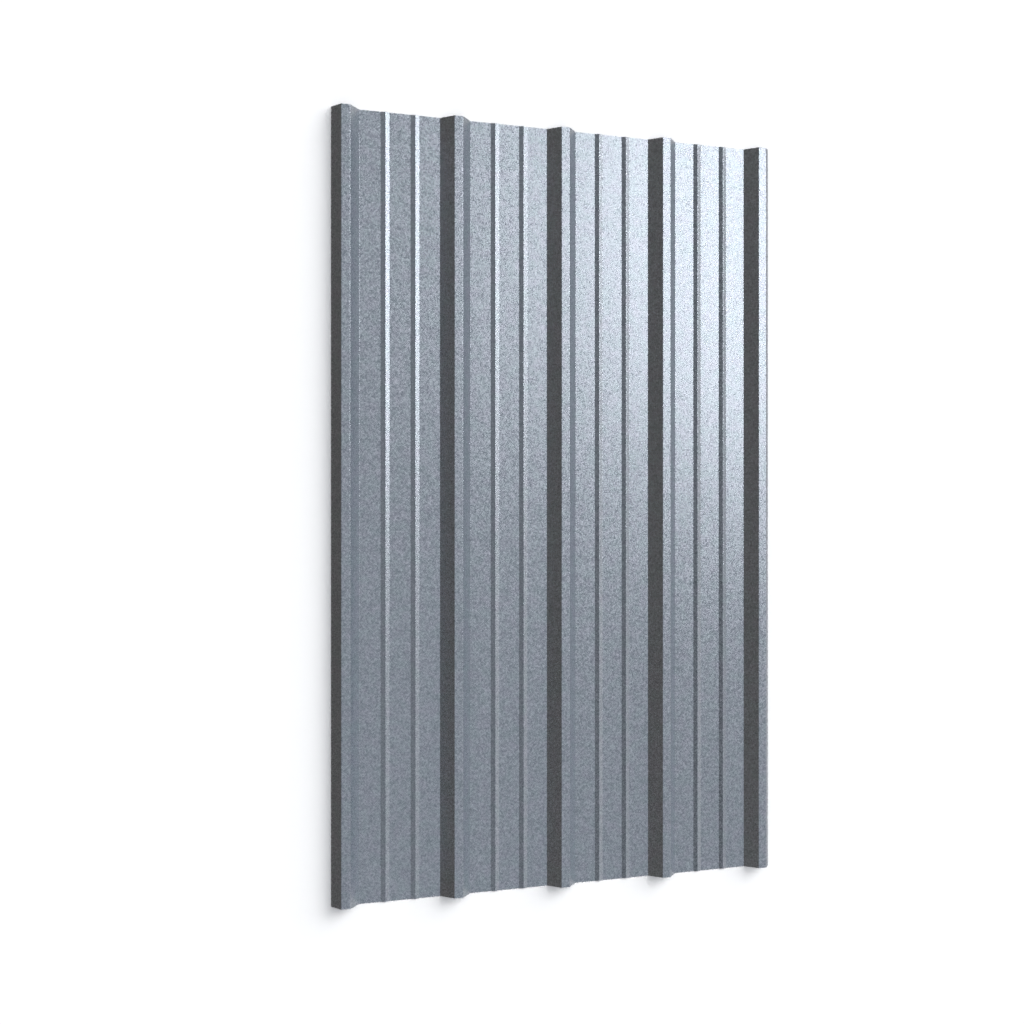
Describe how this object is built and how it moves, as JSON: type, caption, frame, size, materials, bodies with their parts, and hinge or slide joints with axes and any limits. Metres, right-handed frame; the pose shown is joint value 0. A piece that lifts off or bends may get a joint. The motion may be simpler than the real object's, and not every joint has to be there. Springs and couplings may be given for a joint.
{
  "type": "corrugated metal sheet",
  "caption": "Flat-lying trapezoidal ribbed roofing and siding sheet of spangled galvanised steel, with low stiffening ribs in its pans and a lapping leg along one side.",
  "frame": {"origin": "middle of the sheet's plan, on the plane of the pans' underside, which is the surface that the sheet lies on", "axes": "+Y along the ribs, +X across them from the bearing side (the first rib, whose outer leg is steep) to the lapping side, +Z out of the weather face, the way the ribs stand"},
  "size_m": [0.9588, 1.566, 0.0259],
  "materials": {
    "galvanised_steel": "satin"
  },
  "bodies": {
    "root": {"sheet": "galvanised_steel"}
  },
  "joints": []
}
